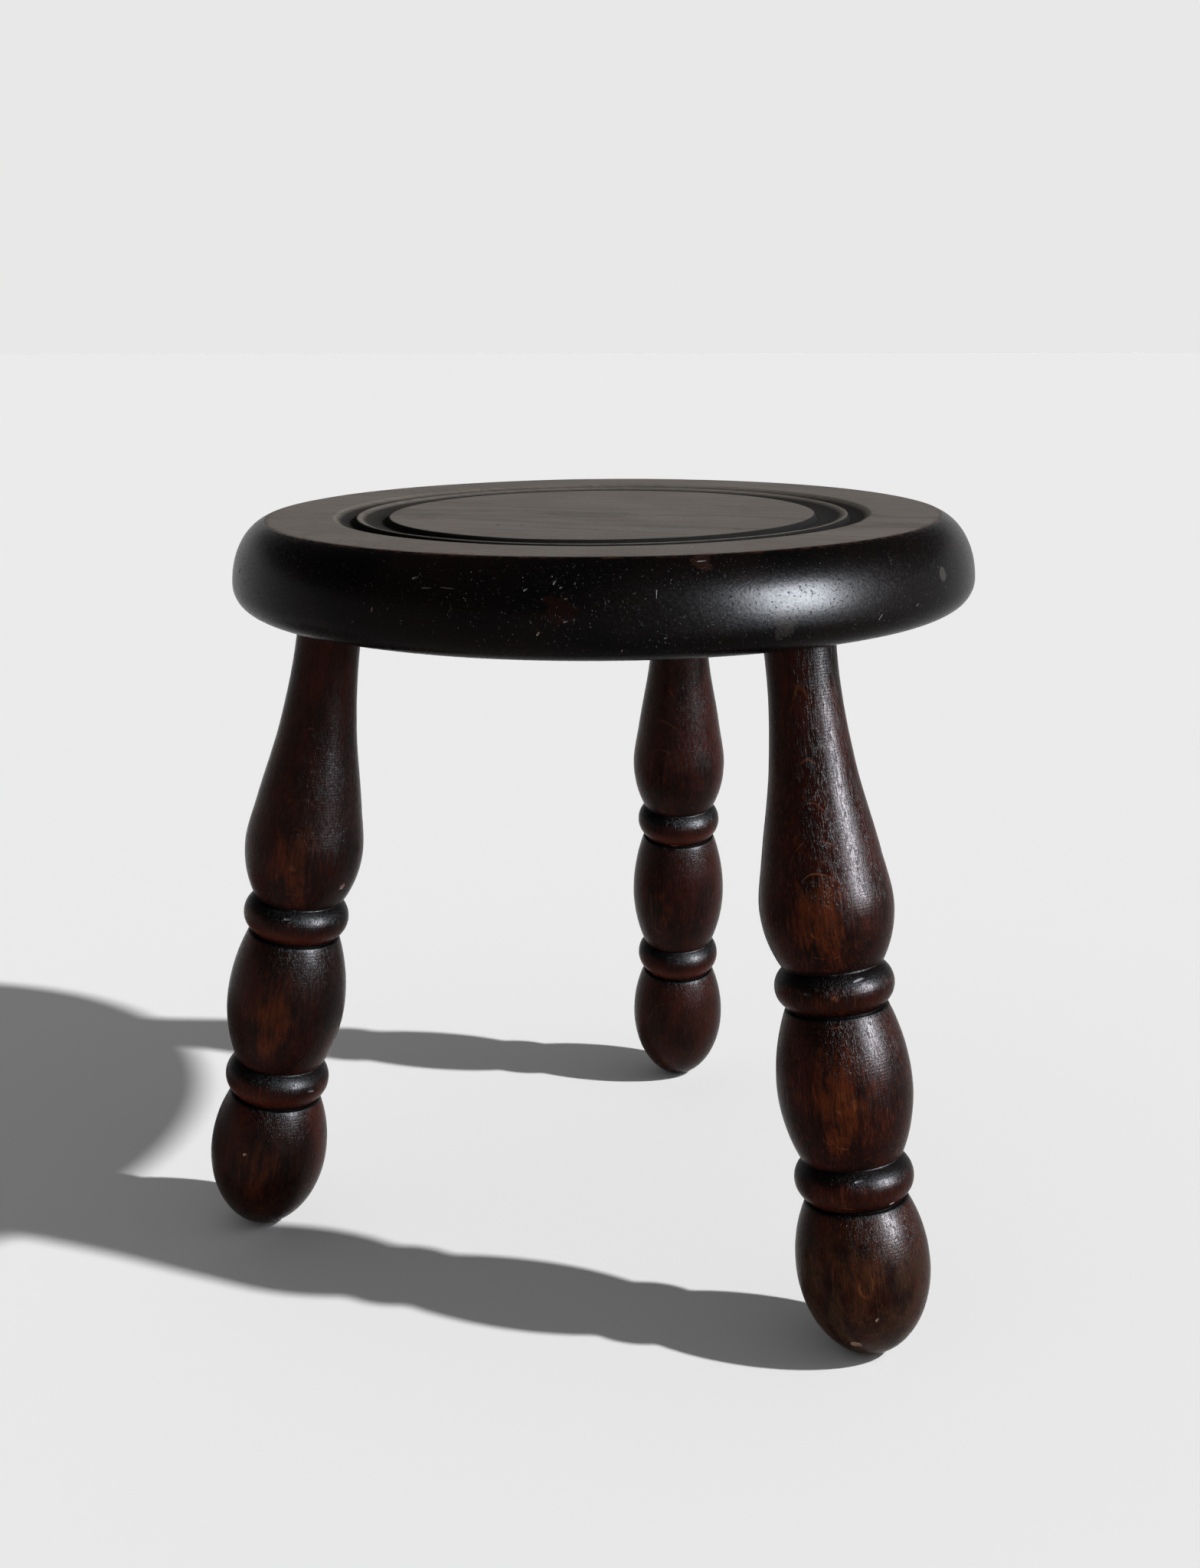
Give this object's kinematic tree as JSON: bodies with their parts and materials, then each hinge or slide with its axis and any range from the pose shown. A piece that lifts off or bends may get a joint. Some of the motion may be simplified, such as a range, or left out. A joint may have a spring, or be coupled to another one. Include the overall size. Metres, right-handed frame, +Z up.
{
  "type": "three-legged stool",
  "caption": "Low round stool of dark stained wood: a thick turned seat with ring grooves and a rounded edge on splayed turned legs with vases, rings and egg-shaped feet.",
  "frame": {"origin": "on the floor, under the axis of the round seat", "axes": "+Z up; +Y towards the back leg, square to the line between the two front sockets; +X to the right"},
  "size_m": [0.31, 0.3175, 0.306],
  "materials": {
    "seat_wood": "dark stained and waxed, worn satin",
    "leg_wood": "dark red-brown stained and waxed, satin",
    "wedge_wood": "bare hardwood, hidden"
  },
  "bodies": {
    "root": {"seat": "seat_wood", "leg_left": "leg_wood", "leg_right": "leg_wood", "leg_back": "leg_wood", "wedge_left": "wedge_wood", "wedge_right": "wedge_wood", "wedge_back": "wedge_wood"}
  },
  "joints": []
}
